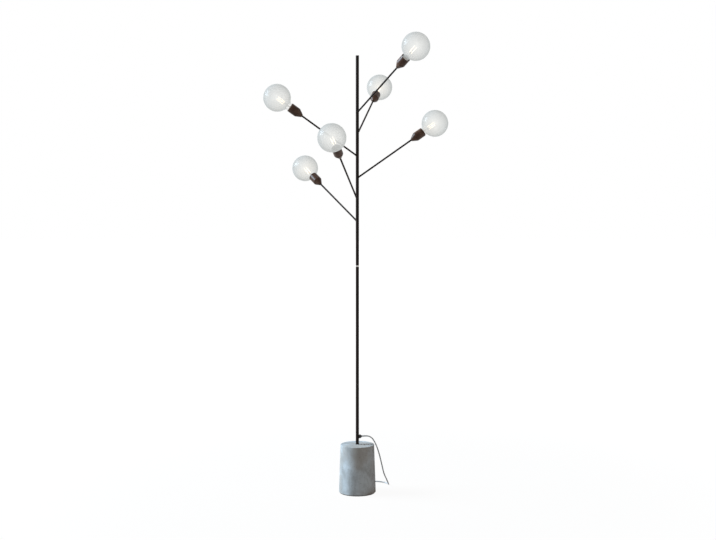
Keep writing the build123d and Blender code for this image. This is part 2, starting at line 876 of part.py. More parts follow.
# The tie goes once round the bundle of turns, where the half turns over the back are in line.
back_radii = [coil_outer_radius - k * coil_pitch for k in range((coil_half_turns_in + 1) // 2)]
tie_x = coil_start_x + coil_outer_radius + coil_pitch / 2
tie_inner_y = coil_start_y + back_radii[-1] - cord_radius - tie_slack
tie_outer_y = coil_start_y + coil_outer_radius + cord_radius + tie_clearance
tie_inner_z = lower_layer - cord_radius - tie_clearance
tie_top_z = upper_layer + cord_radius + tie_clearance
tie_middle = ((tie_inner_y + tie_outer_y) / 2, (tie_inner_z + tie_top_z) / 2)
tie_inside = (tie_outer_y - tie_inner_y, tie_top_z - tie_inner_z)
tie_outside = (tie_inside[0] + 2 * tie_thickness, tie_inside[1] + 2 * tie_thickness)
with BuildPart() as cord_tie:
    with BuildSketch(Plane.YZ.offset(tie_x - tie_width / 2)):
        with Locations(tie_middle):
            RectangleRounded(tie_outside[0], tie_outside[1], cord_radius + tie_thickness)
            RectangleRounded(tie_inside[0], tie_inside[1], cord_radius, mode=Mode.SUBTRACT)
    extrude(amount=tie_width)
    with BuildSketch(Plane.XY.offset(tie_top_z + tie_thickness / 2)):
        with Locations((tie_x, tie_middle[0])):
            Rectangle(tie_head, tie_head)
    extrude(amount=tie_head_height)
save(cord_tie, "cord_tie")
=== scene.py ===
"""A floor lamp like a bare tree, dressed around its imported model: a thin dark pole in a block of
cast concrete, six straight arms with brown enamelled lampholders, and large clear globe bulbs
that are lit.

Everything is in metres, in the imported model's own frame: +Z up, and the origin on the floor at
the pole.
"""

import json
import math

import bpy
from bpy.props import FloatProperty, FloatVectorProperty, IntProperty, PointerProperty
from mathutils import Matrix, Vector


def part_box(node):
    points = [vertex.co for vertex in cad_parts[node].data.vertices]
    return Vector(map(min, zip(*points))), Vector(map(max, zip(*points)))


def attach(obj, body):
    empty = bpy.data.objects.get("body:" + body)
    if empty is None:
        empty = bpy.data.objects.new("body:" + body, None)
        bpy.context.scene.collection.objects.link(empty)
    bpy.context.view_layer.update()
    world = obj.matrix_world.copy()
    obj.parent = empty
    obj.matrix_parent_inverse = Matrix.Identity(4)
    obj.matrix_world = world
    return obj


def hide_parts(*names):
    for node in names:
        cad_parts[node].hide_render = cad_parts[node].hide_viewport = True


bl_info = {
    "name": "Tree floor lamp",
    "version": (1, 0, 0),
    "blender": (4, 5, 0),
    "location": "3D View > Sidebar > Tree lamp",
    "description": "Dresses a packed tree floor lamp: concrete, metal, glass, cord and stage",
    "category": "Object",
}

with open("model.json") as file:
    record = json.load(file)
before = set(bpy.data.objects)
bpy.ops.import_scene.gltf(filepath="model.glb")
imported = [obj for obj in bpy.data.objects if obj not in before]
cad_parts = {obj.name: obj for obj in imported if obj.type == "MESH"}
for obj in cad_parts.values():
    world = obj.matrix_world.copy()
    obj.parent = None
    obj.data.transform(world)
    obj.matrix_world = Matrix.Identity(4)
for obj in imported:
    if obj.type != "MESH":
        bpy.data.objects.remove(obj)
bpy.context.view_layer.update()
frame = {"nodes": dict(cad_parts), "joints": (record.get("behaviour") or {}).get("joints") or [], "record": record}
nodes = frame["nodes"]
joints = {joint["name"]: joint for joint in frame["joints"]}

ARMS = range(1, 7)
FULL_TURN = math.tau


# ------------------------------------------------ sizes and colours that a user may change


def metres(name, description, default):
    return FloatProperty(
        name=name, description=description, default=default, unit="LENGTH", precision=5
    )


def share(name, description, default):
    return FloatProperty(
        name=name, description=description, default=default, min=0, subtype="FACTOR"
    )


def number(name, description, default):
    return FloatProperty(name=name, description=description, default=default, min=0)


def colour(name, description, default):
    return FloatVectorProperty(
        name=name, description=description, default=default, size=3, min=0, max=1, subtype="COLOR"
    )


class CameraSizes(bpy.types.PropertyGroup):
    place: FloatVectorProperty(
        name="Place",
        description="Where the camera stands",
        default=(0.003, -4.9557, 1.2716),
        subtype="TRANSLATION",
        unit="LENGTH",
    )
    pitch: FloatProperty(
        name="Pitch",
        description="How far it looks down",
        default=math.radians(2.71),
        subtype="ANGLE",
    )
    lens: number("Lens", "Focal length in millimetres on a 36 mm sensor", 53.98)


class StageSizes(bpy.types.PropertyGroup):
    floor: colour("Floor", "Colour of the floor and the backdrop", (0.42, 0.385, 0.355))
    floor_white: share("Floor's white", "How much white of its own the floor shows", 0.86)
    surround: share("Surround", "Strength of the light from all round", 0.14)
    key: number("Key light", "Power of the soft light at the upper left, in watts", 1330)
    fill: number("Fill light", "Power of the weak light at the right, in watts", 13)


class ConcreteSizes(bpy.types.PropertyGroup):
    pale: colour("Pale cement", "Colour of the drier patches", (0.70, 0.72, 0.73))
    dark: colour("Dark cement", "Colour of the denser patches", (0.41, 0.40, 0.385))
    warm: colour("Warm cement", "Colour of the sandy patches", (0.49, 0.435, 0.385))
    # Painted shade inside the pinholes.
    pit: colour("Pits", "Colour inside the pinholes", (0.13, 0.13, 0.13))
    edge: metres("Worn edge", "Radius of the worn upper edge", 0.0022)
    relief: metres("Relief", "How deep the surface's low hollows are", 0.0005)
    pit_depth: metres("Pit depth", "How deep the pinholes are", 0.0014)


class MetalSizes(bpy.types.PropertyGroup):
    coat: colour("Powder coat", "Colour of the pole and arms", (0.0190, 0.0130, 0.0105))
    coat_warm: colour("Worn coat", "Browner colour in patches of the coat", (0.030, 0.0190, 0.0150))
    enamel: colour("Enamel", "Colour of the lampholders", (0.050, 0.0185, 0.0075))
    enamel_light: colour("Light enamel", "Colour where the enamel is thin", (0.120, 0.055, 0.031))
    bare: colour("Bare steel", "Colour of the ring between the tubes", (0.46, 0.44, 0.415))
    weld: metres("Weld", "Radius of the weld bead round an arm", 0.0011)


class BulbSizes(bpy.types.PropertyGroup):
    glass: metres("Glass", "Thickness of the glass", 0.0008)
    haze: share("Haze", "How much each face of the lit glass hides", 0.38)
    # Painted light of the glass: rim is a painted grey shade where it is seen edge on, and glow sets a painted
    # glow of the filaments' light.
    rim: colour("Rim", "Colour of the glow where the glass is seen edge on", (0.45, 0.465, 0.46))
    glow: number("Glow", "Strength of the light that the glass scatters", 1.0)
    filament_light: number("Filaments", "Strength of the lit filaments", 2.8)
    warm: colour("Light", "Colour of the light", (1.0, 0.80, 0.58))


class CordSizes(bpy.types.PropertyGroup):
    diameter: metres("Diameter", "Outer diameter of the cord", 0.006)
    sheath: colour("Sheath", "Colour of the cord", (0.66, 0.66, 0.65))
    # Painted shade in the groove between the twisted wires.
    strand: colour("Strand", "Darker colour between the wires under the sheath", (0.44, 0.44, 0.44))
    twist: metres("Twist", "Length of cord in which the wires go once round", 0.0052)
    coil_points: IntProperty(
        name="Points",
        description="Points of the cord's line in half a turn of the coil",
        default=8,
        min=6,
    )


# ------------------------------------------------ materials


class Value:
    """A number or colour on its way through the nodes. Sums on a number add its Math nodes."""

    def __init__(self, owner, socket):
        self.owner = owner
        self.socket = socket

    def maths(self, operation, *terms):
        return self.owner.node("ShaderNodeMath", {"operation": operation}, *terms).out(0)

    def __add__(self, other):
        return self.maths("ADD", self, other)

    def __radd__(self, other):
        return self.maths("ADD", other, self)

    def __sub__(self, other):
        return self.maths("SUBTRACT", self, other)

    def __rsub__(self, other):
        return self.maths("SUBTRACT", other, self)

    def __mul__(self, other):
        return self.maths("MULTIPLY", self, other)

    def __rmul__(self, other):
        return self.maths("MULTIPLY", other, self)

    def __pow__(self, other):
        return self.maths("POWER", self, other)

    def between(self, low, high):
        """0 up to low, 1 from high on, and smooth in between."""
        settings = {"interpolation_type": "SMOOTHSTEP"}
        return self.owner.node("ShaderNodeMapRange", settings, self, low, high).out("Result")


class Added:
    """A node that was added to a material or to the world."""

    def __init__(self, owner, node):
        self.owner = owner
        self.node = node

    def out(self, which):
        if isinstance(which, int):
            return Value(self.owner, self.node.outputs[which])
        found = next(socket for socket in self.node.outputs if socket.identifier == which)
        return Value(self.owner, found)


class Nodes:
    """The nodes of a material or of the world, under construction."""

    def __init__(self, owner):
        owner.use_nodes = True
        self.tree = owner.node_tree
        self.tree.nodes.clear()

    def node(self, kind, settings=None, *values, **named):
        """Adds a node, sets what it is, and then gives its sockets their values or links."""
        node = self.tree.nodes.new(kind)
        for key, setting in (settings or {}).items():
            setattr(node, key, setting)
        sockets = dict(enumerate(values))
        sockets.update(named)
        for key, value in sockets.items():
            if isinstance(key, int):
                socket = node.inputs[key]
            else:
                wanted = key.replace("_", " ")
                socket = next(s for s in node.inputs if s.identifier in (key, wanted))
            self.fill(socket, value)
        return Added(self, node)

    def fill(self, socket, value):
        """Links a socket, or sets its own value."""
        if isinstance(value, Value):
            self.tree.links.new(value.socket, socket)
        elif socket.type == "RGBA":
            socket.default_value = (*value[:3], 1)
        else:
            socket.default_value = value


class Finish(Nodes):
    """A material under construction."""

    def __init__(self, name):
        self.material = bpy.data.materials.new(name)
        super().__init__(self.material)
        self.place = self.node("ShaderNodeTexCoord").out("Object")

    def stretched(self, scale, turn=(0, 0, 0)):
        """The place, stretched and turned, for a pattern that isn't the same each way."""
        sockets = {"Vector": self.place, "Rotation": turn, "Scale": scale}
        return self.node("ShaderNodeMapping", None, **sockets).out(0)

    def noise(self, scale, detail, rough=0.5, vector=None):
        place = vector or self.place
        sockets = {"Vector": place, "Scale": scale, "Detail": detail, "Roughness": rough}
        return self.node("ShaderNodeTexNoise", None, **sockets).out("Fac")

    def cells(self, scale):
        sockets = {"Vector": self.place, "Scale": scale}
        return self.node("ShaderNodeTexVoronoi", {"feature": "F1"}, **sockets).out("Distance")

    def mix(self, factor, first, second):
        sockets = {"Factor_Float": factor, "A_Color": first, "B_Color": second}
        return self.node("ShaderNodeMix", {"data_type": "RGBA"}, **sockets).out("Result_Color")

    def bump(self, height, distance):
        sockets = {"Strength": 1.0, "Distance": distance, "Height": height}
        return self.node("ShaderNodeBump", None, **sockets).out("Normal")

    def attribute(self, name):
        return self.node("ShaderNodeAttribute", {"attribute_name": name}).out("Fac")

    def principled(self, **sockets):
        return self.node("ShaderNodeBsdfPrincipled", None, **sockets).out("BSDF")

    def finished(self, shader):
        self.node("ShaderNodeOutputMaterial", None, shader)
        return self.material


def cast_concrete(sizes):
    finish = Finish("cast_concrete")
    clouds = finish.noise(14, 5, 0.62)
    streaks = finish.noise(9, 4, 0.6, finish.stretched((1.0, 1.0, 0.28)))
    sand = finish.noise(1400, 2, 0.6)
    grit = finish.noise(330, 4, 0.7)
    pits = 1 - finish.cells(170).between(0.10, 0.17)
    some = finish.noise(60, 2).between(0.50, 0.58)
    patches = (clouds * 0.65 + streaks * 0.45 + grit * 0.16).between(0.48, 0.80)
    leaning = finish.stretched((1.0, 1.0, 0.6), (0.4, 0.9, 2.1))
    warm = finish.noise(8, 3, 0.5, leaning).between(0.46, 0.64)
    cement = finish.mix(patches, sizes.dark, sizes.pale)
    pale = finish.mix(warm * 0.70, cement, sizes.warm)
    specks = finish.mix(grit.between(0.60, 0.74) * 0.32, pale, (0.60, 0.61, 0.60))
    # Painted shade: some of the pinholes are darkened.
    colour_out = finish.mix(pits * some, specks, sizes.pit)
    height = clouds * 0.6 + grit * 0.45 + sand * 0.16 - pits * some * 1.5
    shader = finish.principled(
        Base_Color=colour_out,
        Roughness=0.80 + grit * 0.16,
        Specular_IOR_Level=0.22,
        Normal=finish.bump(height, 0.0007),
    )
    return finish.finished(shader)


def powder_coat(sizes):
    finish = Finish("powder_coat")
    peel = finish.noise(1500, 2, 0.45)
    wear = finish.noise(22, 5, 0.6, finish.stretched((1, 1, 0.35))).between(0.42, 0.72)
    dust = finish.noise(650, 4, 0.7)
    tint = finish.mix(wear * 0.8, sizes.coat, sizes.coat_warm)
    shader = finish.principled(
        Base_Color=finish.mix(dust.between(0.62, 0.8) * 0.12, tint, (0.070, 0.052, 0.045)),
        Roughness=0.38 + peel * 0.10 + wear * 0.10,
        Specular_IOR_Level=0.08,
        Normal=finish.bump(peel + dust * 0.3, 0.000015),
    )
    return finish.finished(shader)


def brown_enamel(sizes):
    finish = Finish("brown_enamel")
    pools = finish.noise(36, 4, 0.55).between(0.36, 0.68)
    flow = finish.noise(260, 3, 0.5, finish.stretched((1, 1, 0.4)))
    specks = finish.noise(1200, 2, 0.6).between(0.66, 0.76)
    base = finish.mix(pools * 0.75, sizes.enamel, sizes.enamel_light)
    shader = finish.principled(
        Base_Color=finish.mix(specks * 0.25, base, (0.16, 0.10, 0.07)),
        Roughness=0.34 + flow * 0.10,
        Specular_IOR_Level=0.18,
        Coat_Weight=0.06 + pools * 0.12,
        Coat_Roughness=0.2,
        Normal=finish.bump(flow + specks * 0.3, 0.00005),
    )
    return finish.finished(shader)


def turned_metal(name, tint, rough, lines):
    """Bare metal with fine lines round the pole's own direction."""
    finish = Finish(name)
    turned_lines = finish.noise(lines, 2, 0.5, finish.stretched((0.02, 0.02, 1)))
    stain = finish.noise(90, 4, 0.6).between(0.4, 0.75)
    dull = tuple(channel * 0.72 for channel in tint)
    shader = finish.principled(
        Base_Color=finish.mix(stain * 0.6 + turned_lines * 0.25, tint, dull),
        Metallic=1.0,
        Roughness=rough + turned_lines * 0.14 + stain * 0.08,
        Normal=finish.bump(turned_lines, 0.00004),
    )
    return finish.finished(shader)


def moulded(name, tint, rough, grain_scale=1600, grain=0.00005, specular=0.35):
    """Moulded plastic or rubber, with the fine spark grain of its mould."""
    finish = Finish(name)
    spark = finish.noise(grain_scale, 3, 0.6)
    rub = finish.noise(70, 4, 0.6).between(0.45, 0.75)
    light = tuple(min(1, channel * 1.5 + 0.008) for channel in tint)
    shader = finish.principled(
        Base_Color=finish.mix(rub * 0.5 + spark * 0.15, tint, light),
        Roughness=rough + spark * 0.14 - rub * 0.06,
        Specular_IOR_Level=specular,
        Normal=finish.bump(spark, grain),
    )
    return finish.finished(shader)


def globe_glass(sizes):
    """Clear glass of a lit bulb: thin, with a painted grey shade where it is seen edge on, and a
    painted glow in its haze that stands in for the filaments' light."""
    finish = Finish("globe_glass")
    along = finish.attribute("along")
    facing = finish.node("ShaderNodeLayerWeight", None, Blend=0.5).out("Facing")
    outer = facing**0.35
    streak = finish.noise(26, 3, 0.5).between(0.42, 0.70)
    warm_glow_near_neck = 1 - along.between(0.030, 0.130)
    neck = 1 - along.between(0.044, 0.064)
    # Painted glow: cool in the globe and warm towards the neck. Edge is the painted dark shade at the very rim.
    cool_glow, warm, edge = (0.86, 0.865, 0.845), (1.0, 0.95, 0.86), (0.20, 0.21, 0.205)
    middle = finish.mix(warm_glow_near_neck, cool_glow, warm)
    # Towards the rim, the painted glow turns to the rim's painted grey shade.
    glow = finish.mix(outer, middle, sizes.rim)
    haze = (1 - neck * 0.75) * sizes.haze + (1 - outer) * (1 - neck) * 0.14
    shader = finish.principled(
        Base_Color=finish.mix(streak, (0.15, 0.155, 0.153), (0.10, 0.105, 0.103)),
        Roughness=0.14 + streak * 0.05,
        Specular_IOR_Level=0.08,
        # Emission: the painted glow, with a painted dark shade where the glass is seen edge on. The alpha rises
        # there too.
        Emission_Color=finish.mix(facing * facing * facing, glow, edge),
        Emission_Strength=sizes.glow,
        Alpha=haze + streak * 0.03 + facing * facing * 0.42,
    )
    return finish.finished(shader)


def lit_filament(sizes):
    finish = Finish("lit_filament")
    grains = finish.noise(900, 2).between(0.3, 0.7)
    hot = finish.mix(grains, sizes.warm, (1.0, 0.90, 0.74))
    shader = finish.principled(
        Base_Color=finish.mix(grains, (0.9, 0.62, 0.25), (0.95, 0.75, 0.4)),
        Roughness=0.4 + grains * 0.2,
        Emission_Color=hot,
        Emission_Strength=sizes.filament_light,
    )
    return finish.finished(shader)


def stem_glass():
    finish = Finish("stem_glass")
    pinch = finish.noise(180, 3, 0.5)
    facing = finish.node("ShaderNodeLayerWeight", None, Blend=0.4).out("Facing")
    shader = finish.principled(
        Base_Color=finish.mix(pinch, (0.82, 0.80, 0.76), (0.60, 0.57, 0.52)),
        Roughness=0.10 + pinch * 0.12,
        Alpha=0.30 + facing * 0.5,
        Normal=finish.bump(pinch, 0.0002),
    )
    return finish.finished(shader)


def flex_sheath(name, sizes, length):
    """Clear sheath over two silvery strands that twist round each other, at the same pitch on a
    cord of any length."""
    finish = Finish(name)
    along = finish.node("ShaderNodeUVMap").out("UV")
    twists = length / sizes.twist
    twist = finish.node("ShaderNodeMapping", None, Vector=along, Scale=(twists, 2.0, 1.0)).out(0)
    settings = {"wave_type": "BANDS", "bands_direction": "DIAGONAL", "wave_profile": "SIN"}
    sockets = {"Vector": twist, "Scale": 0.5, "Distortion": 0.4, "Detail": 1.0}
    band = finish.node("ShaderNodeTexWave", settings, **sockets).out("Fac")
    scuff = finish.noise(240, 4, 0.6).between(0.5, 0.75)
    shader = finish.principled(
        # The bands follow the twisted wires. Their darker colour between the wires is painted shade.
        Base_Color=finish.mix(band * 0.7 + scuff * 0.2, sizes.sheath, sizes.strand),
        Roughness=0.30 + scuff * 0.25,
        Coat_Weight=0.4 + band * 0.1,
        Coat_Roughness=0.12,
        Normal=finish.bump(band, 0.0001),
    )
    return finish.finished(shader)


def seen_by_camera(owner):
    """1 where the camera sees a thing itself, or sees it in metal or through glass."""
    rays = owner.node("ShaderNodeLightPath")
    return rays.out("Is Camera Ray") + rays.out("Is Glossy Ray") + rays.out("Is Transmission Ray")


def stage_white(sizes):
    """The floor: it takes the lamp's soft shadow, and the camera sees it nearly white, and quite
    white far away, so that no horizon shows."""
    finish = Finish("stage_white")
    away = finish.node("ShaderNodeVectorMath", {"operation": "LENGTH"}, finish.place).out("Value")
    far = away.between(0.8, 5.0)
    whiteness = far * (1 - sizes.floor_white) + sizes.floor_white
    shown = seen_by_camera(finish) * whiteness
    plain = finish.node("ShaderNodeBsdfDiffuse", None, Color=sizes.floor, Roughness=0.5)
    white = finish.node("ShaderNodeEmission", None, Color=(1, 1, 1), Strength=1.10)
    shaders = (plain.out("BSDF"), white.out("Emission"))
    return finish.finished(finish.node("ShaderNodeMixShader", None, shown, *shaders).out(0))


def studio_world(sizes):
    """The light from all round, and the white that the camera sees behind the lamp."""
    world = bpy.data.worlds.new("studio")
    sky = Nodes(world)
    soft = sky.node("ShaderNodeBackground", None, Color=(1.0, 0.92, 0.84), Strength=sizes.surround)
    white = sky.node("ShaderNodeBackground", None, Color=(1, 1, 1), Strength=1.0)
    shaders = (soft.out("Background"), white.out("Background"))
    mixed = sky.node("ShaderNodeMixShader", None, seen_by_camera(sky), *shaders)
    sky.node("ShaderNodeOutputWorld", None, mixed.out(0))
    return world


# ------------------------------------------------ modelling


def alone(piece=None):
    """Leaves edit mode and selects one piece, or nothing."""
    if bpy.context.object and bpy.context.object.mode != "OBJECT":
        bpy.ops.object.mode_set(mode="OBJECT")
    bpy.ops.object.select_all(action="DESELECT")
    if piece:
        piece.select_set(True)
        bpy.context.view_layer.objects.active = piece


def arc(centre, radius, start, end, steps):
    """Points of an arc in a turned piece's outline. Angles are in degrees from level."""
    turns = [math.radians(start + (end - start) * k / steps) for k in range(steps + 1)]
    return [(centre[0] + radius * math.cos(a), centre[1] + radius * math.sin(a)) for a in turns]


def turned(name, outline, steps, smooth=35):
    """A piece turned round Z: its outline of (radius, height) is extruded by points and spun."""
    alone()
    bpy.ops.mesh.primitive_plane_add(size=0.001)
    piece = bpy.context.object
    piece.name = name
    piece.data.name = name
    bpy.ops.object.mode_set(mode="EDIT")
    bpy.ops.mesh.select_mode(type="VERT")
    bpy.ops.mesh.select_all(action="SELECT")
    bpy.ops.mesh.merge(type="CENTER")
    bpy.ops.transform.translate(value=(outline[0][0], 0, outline[0][1]))
    for here, there in zip(outline, outline[1:]):
        step = (there[0] - here[0], 0, there[1] - here[1])
        bpy.ops.mesh.extrude_region_move(TRANSFORM_OT_translate={"value": step})
    bpy.ops.mesh.select_all(action="SELECT")
    bpy.ops.mesh.spin(steps=steps, angle=FULL_TURN, center=(0, 0, 0), axis=(0, 0, 1))
    bpy.ops.mesh.select_all(action="SELECT")
    bpy.ops.mesh.remove_doubles(threshold=2e-6)
    bpy.ops.mesh.normals_make_consistent(inside=False)
    bpy.ops.object.mode_set(mode="OBJECT")
    bpy.ops.object.shade_smooth_by_angle(angle=math.radians(smooth))
    return piece


def placed(piece, matrix):
    """Takes a piece to its place, and puts the place in its mesh."""
    alone(piece)
    piece.matrix_world = matrix
    bpy.ops.object.transform_apply(location=True, rotation=True, scale=True)
    return piece


def copied(piece, name):
    """A copy of a piece under a new name, with a mesh of its own."""
    twin = piece.copy()
    twin.data = piece.data.copy()
    twin.name = name
    twin.data.name = name
    bpy.context.collection.objects.link(twin)
    return twin


def coated(piece, material):
    piece.data.materials.clear()
    piece.data.materials.append(material)
    return piece


def dressed(material, *names):
    """Gives CAD nodes a finish in their own material slots."""
    for name in names:
        for material_slot in nodes[name].material_slots:
            material_slot.material = material


def arm_matrix(arm):
    """The place of a bulb's tip on its arm: Z runs out along the arm, and X is level."""
    joint = joints[f"bulb_{arm}_unscrew"]
    outward = Vector(joint["axis"]).normalized()
    level = Vector((0, 0, 1)).cross(outward).normalized()
    upward = outward.cross(level)
    turn = Matrix((level, upward, outward)).transposed().to_4x4()
    return Matrix.Translation(Vector(joint["pos_m"])) @ turn


def seated(pattern, name, arm):
    """A copy of a pattern in its place on an arm, named after both."""
    return placed(copied(pattern, f"{name}_{arm}"), arm_matrix(arm))


def note_height(piece):
    """Keeps each point's height in the piece's own frame, for materials that change along it."""
    layer = piece.data.attributes.new("along", "FLOAT", "POINT")
    layer.data.foreach_set("value", [point.co.z for point in piece.data.vertices])


# ------------------------------------------------ the cord's route, close to the model's own

GLAND_TURN = math.radians(30)
GLAND_REACH, GLAND_HEIGHT = 0.0215, 0.2605
SWITCH_ROW, SWITCH_LEVEL = 0.172, 0.0083
SWITCH_RIGHT, SWITCH_LEFT = 0.056, -0.016
COIL_START = (-0.068, 0.258)
COIL_RADIUS, COIL_PITCH = 0.046, 0.0065
LOWER_LAYER, UPPER_LAYER = 0.0047, 0.0112
HALF_TURNS_IN, HALF_TURNS_OUT = 7, 8
PLUG_ROW, PLUG_LEVEL, PLUG_END = 0.332, 0.00715, -0.008
LEAD_LENGTH, COIL_LENGTH = 0.462, 2.05


def beside_pole(reach, height):
    """A point in the upright plane that the gland points along."""
    return (reach * math.cos(GLAND_TURN), reach * math.sin(GLAND_TURN), height)


LEAD_ROUTE = [
    beside_pole(GLAND_REACH, GLAND_HEIGHT),
    beside_pole(0.049, GLAND_HEIGHT),
    beside_pole(0.0745, 0.2515),
    beside_pole(0.0930, 0.2295),
    beside_pole(0.1145, 0.1835),
    beside_pole(0.1340, 0.112),
    beside_pole(0.1445, 0.070),
    (0.140, 0.088, 0.036),
    (0.148, 0.106, 0.013),
    (0.151, 0.128, 0.0033),
    (0.146, 0.152, 0.0033),
    (0.127, 0.169, 0.005),
    (0.091, SWITCH_ROW, SWITCH_LEVEL),
    (SWITCH_RIGHT, SWITCH_ROW, SWITCH_LEVEL),
]
RUN_ROUTE = [
    (SWITCH_LEFT, SWITCH_ROW, SWITCH_LEVEL),
    (-0.042, SWITCH_ROW, SWITCH_LEVEL),
    (-0.064, 0.192, 0.0062),
    (-0.068, 0.225, LOWER_LAYER),
]
TAIL_ROUTE = [
    (-0.068, 0.290, UPPER_LAYER),
    (-0.056, 0.318, 0.008),
    (-0.030, PLUG_ROW, PLUG_LEVEL),
    (PLUG_END, PLUG_ROW, PLUG_LEVEL),
]


def half_turn(start, radius, side, low, high, count):
    """Points outside half a turn of the coil, from the left or right end of its middle line."""
    stretch = 1 / math.cos(math.pi / count / 2)
    centre = start + side * radius
    found = []
    for k in range(count):
        part = (k + 0.5) / count
        swing = math.pi * part
        x = centre - side * radius * stretch * math.cos(swing)
        y = COIL_START[1] + side * radius * stretch * math.sin(swing)
        found.append((x, y, low + (high - low) * part))
    return found, start + side * 2 * radius


def coil_route(count):
    """The coil's turns: inwards on the floor, half a turn up, and outwards on top."""
    x, radius, side = COIL_START[0], COIL_RADIUS, 1
    points = []
    for k in range(HALF_TURNS_IN + 1 + HALF_TURNS_OUT):
        low = LOWER_LAYER if k <= HALF_TURNS_IN else UPPER_LAYER
        high = LOWER_LAYER if k < HALF_TURNS_IN else UPPER_LAYER
        found, x = half_turn(x, radius, side, low, high, count)
        points += found
        side = -side
        radius += -COIL_PITCH / 2 if k < HALF_TURNS_IN else COIL_PITCH / 2
    return points


def curve_along(name, kind, places):
    """A new curve with one spline that has its points at the places."""
    curve = bpy.data.curves.new(name, "CURVE")
    curve.dimensions = "3D"
    spline = curve.splines.new(kind)
    spline.points.add(len(places) - 1)
    for point, place in zip(spline.points, places):
        point.co = (*place, 1)
    piece = bpy.data.objects.new(name, curve)
    bpy.context.collection.objects.link(piece)
    return piece, spline


def flex(name, route, diameter):
    """A cord as one NURBS spline, whose points pull its line along the route."""
    piece, spline = curve_along(name, "NURBS", route)
    spline.order_u = 3
    spline.use_endpoint_u = True
    piece.data.resolution_u = 6
    piece.data.bevel_depth = diameter / 2
    piece.data.bevel_resolution = 5
    piece.data.use_fill_caps = True
    return piece


def tube(name, places, swell, radius, roundness, closed=False):
    """A tube's mesh along straight steps, where swell holds each place's share of the radius."""
    piece, spline = curve_along(name, "POLY", places)
    for point, part in zip(spline.points, swell):
        point.radius = part
    spline.use_cyclic_u = closed
    piece.data.bevel_depth = radius
    piece.data.bevel_resolution = roundness
    piece.data.use_fill_caps = not closed
    alone(piece)
    bpy.ops.object.convert(target="MESH")
    return piece


def centre_line(cord):
    """The points of a cord's own line, as Blender draws it."""
    bare = cord.copy()
    bare.data = cord.data.copy()
    bare.data.bevel_depth = 0
    bpy.context.collection.objects.link(bare)
    bpy.context.view_layer.update()
    drawn = bare.evaluated_get(bpy.context.evaluated_depsgraph_get())
    mesh = bpy.data.meshes.new_from_object(drawn)
    points = [point.co.copy() for point in mesh.vertices]
    bpy.data.objects.remove(bare)
    bpy.data.meshes.remove(mesh)
    return points


def along_line(points, length, steps):
    """Points at even steps along the first part of a line."""
    found, walked, target = [points[0]], 0.0, length / steps
    for here, there in zip(points, points[1:]):
        run = (there - here).length
        while run > 0 and walked + run >= target - 1e-9 and len(found) <= steps:
            found.append(here.lerp(there, (target - walked) / run))
            target += length / steps
        walked += run
    return found


def tapered_boot(name, cord, from_start, length, wide, narrow, ribs):
    """A strain relief round a cord where it leaves a housing: it tapers along the cord, with soft
    ribs."""
    line = centre_line(cord)
    if not from_start:
        line.reverse()
    steps = ribs * 6
    points = along_line(line, length, steps)
    swell = []
    for k in range(len(points)):
        part = k / steps
        ribbed = 1 - 0.10 * (0.5 - 0.5 * math.cos(FULL_TURN * ribs * part)) * (1 - part)
        swell.append((wide + (narrow - wide) * part**0.8) * ribbed / wide)
    piece = tube(name, points, swell, wide / 2, 6)
    bpy.ops.object.mode_set(mode="EDIT")
    bpy.ops.mesh.select_all(action="SELECT")
    bpy.ops.mesh.remove_doubles(threshold=1e-6)
    bpy.ops.mesh.normals_make_consistent(inside=False)
    bpy.ops.object.mode_set(mode="OBJECT")
    bpy.ops.object.shade_smooth_by_angle(angle=math.radians(40))
    return piece


# ------------------------------------------------ pieces


def carrier(node):
    """The body that a CAD node belongs to."""
    groups = frame["record"]["behaviour"]["bodies"]
    return next(body for body, members in groups.items() if node in members)


def stands_for(piece, slot, *replaced):
    """A new piece rides where the CAD nodes that it stands for do, and those nodes are hidden. Its slot is not
    used.
    """
    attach(piece, carrier(replaced[0]))
    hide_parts(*replaced)
    return piece


def added_to(piece, node):
    """A new piece rides with a CAD node that stays."""
    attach(piece, carrier(node))
    return piece


class TREELAMP_OT_camera(bpy.types.Operator):
    """Place the camera where the lamp was seen from"""

    bl_idname = "tree_lamp.camera"
    bl_label = "Camera"

    def execute(self, context):
        sizes = context.scene.tree_lamp.camera
        alone()
        turn = (math.pi / 2 - sizes.pitch, 0, 0)
        bpy.ops.object.camera_add(location=sizes.place, rotation=turn)
        context.object.data.lens = sizes.lens
        context.object.data.clip_end = 200
        context.scene.camera = context.object
        return {"FINISHED"}


